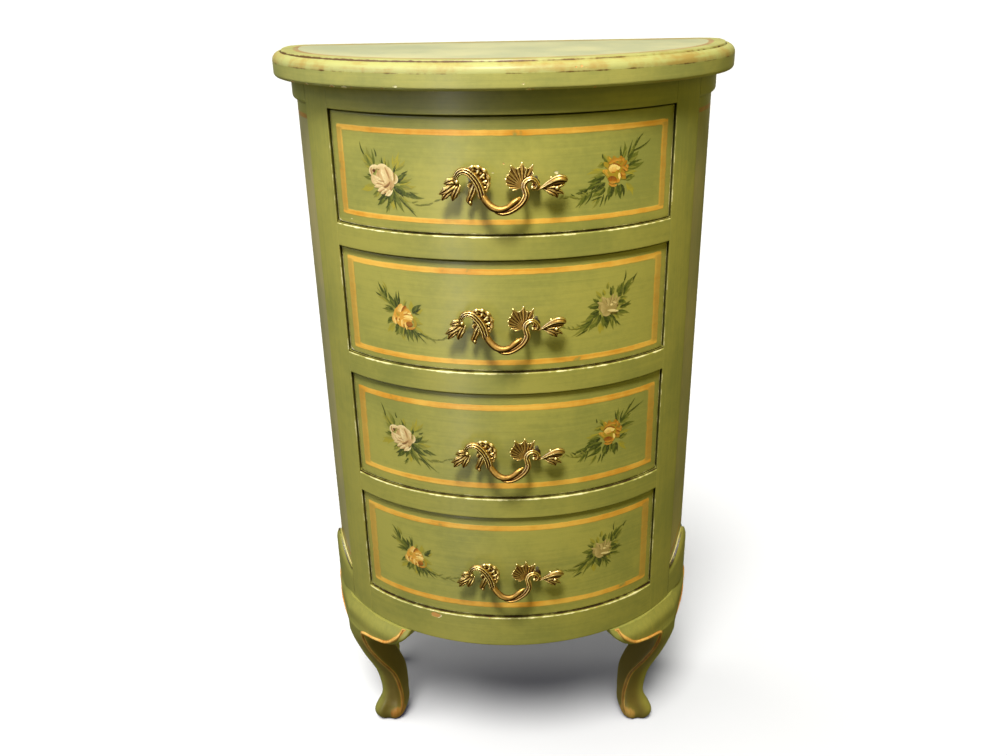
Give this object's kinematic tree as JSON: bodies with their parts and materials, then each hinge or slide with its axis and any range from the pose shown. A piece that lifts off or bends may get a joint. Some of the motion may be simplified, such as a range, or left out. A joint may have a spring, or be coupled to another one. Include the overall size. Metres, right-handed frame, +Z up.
{
  "type": "demilune chest of drawers",
  "caption": "Small half-round chest with bow-fronted sliding drawers, recessed side panels, cabriole legs and cast pulls, painted with roses and gold lines.",
  "frame": {"origin": "on the floor, in the middle of the width and depth", "axes": "+Z up, -Y the way the drawers open, +X to the right of someone facing the drawers"},
  "size_m": [0.516, 0.2521, 0.895],
  "materials": {
    "green_paint": "aged satin paint over wood",
    "plain_wood": "unpainted, dull",
    "antique_brass": "cast, darkened in the recesses",
    "bolt_steel": "plain"
  },
  "bodies": {
    "carcass": {"top": "green_paint", "frieze_rail": "green_paint", "drawer_divider_1": "green_paint", "drawer_divider_2": "green_paint", "drawer_divider_3": "green_paint", "bottom_rail": "green_paint", "front_stile_left": "green_paint", "back_post_left": "green_paint", "side_frieze_left": "green_paint", "side_panel_left": "green_paint", "side_apron_left": "green_paint", "front_leg_left": "green_paint", "back_leg_left": "green_paint", "front_stile_right": "green_paint", "back_post_right": "green_paint", "side_frieze_right": "green_paint", "side_panel_right": "green_paint", "side_apron_right": "green_paint", "front_leg_right": "green_paint", "back_leg_right": "green_paint", "back_panel": "plain_wood", "bottom_board": "plain_wood", "runner_1_left": "plain_wood", "runner_1_right": "plain_wood", "runner_2_left": "plain_wood", "runner_2_right": "plain_wood", "runner_3_left": "plain_wood", "runner_3_right": "plain_wood"},
    "drawer_1": {"drawer_1_front": "green_paint", "drawer_1_side_left": "plain_wood", "drawer_1_side_right": "plain_wood", "drawer_1_back": "plain_wood", "drawer_1_bottom": "plain_wood", "pull_1": "antique_brass", "pull_1_bolt_left": "bolt_steel", "pull_1_bolt_right": "bolt_steel"},
    "drawer_2": {"drawer_2_front": "green_paint", "drawer_2_side_left": "plain_wood", "drawer_2_side_right": "plain_wood", "drawer_2_back": "plain_wood", "drawer_2_bottom": "plain_wood", "pull_2": "antique_brass", "pull_2_bolt_left": "bolt_steel", "pull_2_bolt_right": "bolt_steel"},
    "drawer_3": {"drawer_3_front": "green_paint", "drawer_3_side_left": "plain_wood", "drawer_3_side_right": "plain_wood", "drawer_3_back": "plain_wood", "drawer_3_bottom": "plain_wood", "pull_3": "antique_brass", "pull_3_bolt_left": "bolt_steel", "pull_3_bolt_right": "bolt_steel"},
    "drawer_4": {"drawer_4_front": "green_paint", "drawer_4_side_left": "plain_wood", "drawer_4_side_right": "plain_wood", "drawer_4_back": "plain_wood", "drawer_4_bottom": "plain_wood", "pull_4": "antique_brass", "pull_4_bolt_left": "bolt_steel", "pull_4_bolt_right": "bolt_steel"}
  },
  "joints": [
    {"name": "drawer_1_slide", "type": "slide", "parent": "carcass", "child": "drawer_1", "axis": [0, -1, 0], "range_m": [0, 0.12]},
    {"name": "drawer_2_slide", "type": "slide", "parent": "carcass", "child": "drawer_2", "axis": [0, -1, 0], "range_m": [0, 0.12]},
    {"name": "drawer_3_slide", "type": "slide", "parent": "carcass", "child": "drawer_3", "axis": [0, -1, 0], "range_m": [0, 0.12]},
    {"name": "drawer_4_slide", "type": "slide", "parent": "carcass", "child": "drawer_4", "axis": [0, -1, 0], "range_m": [0, 0.12]}
  ]
}
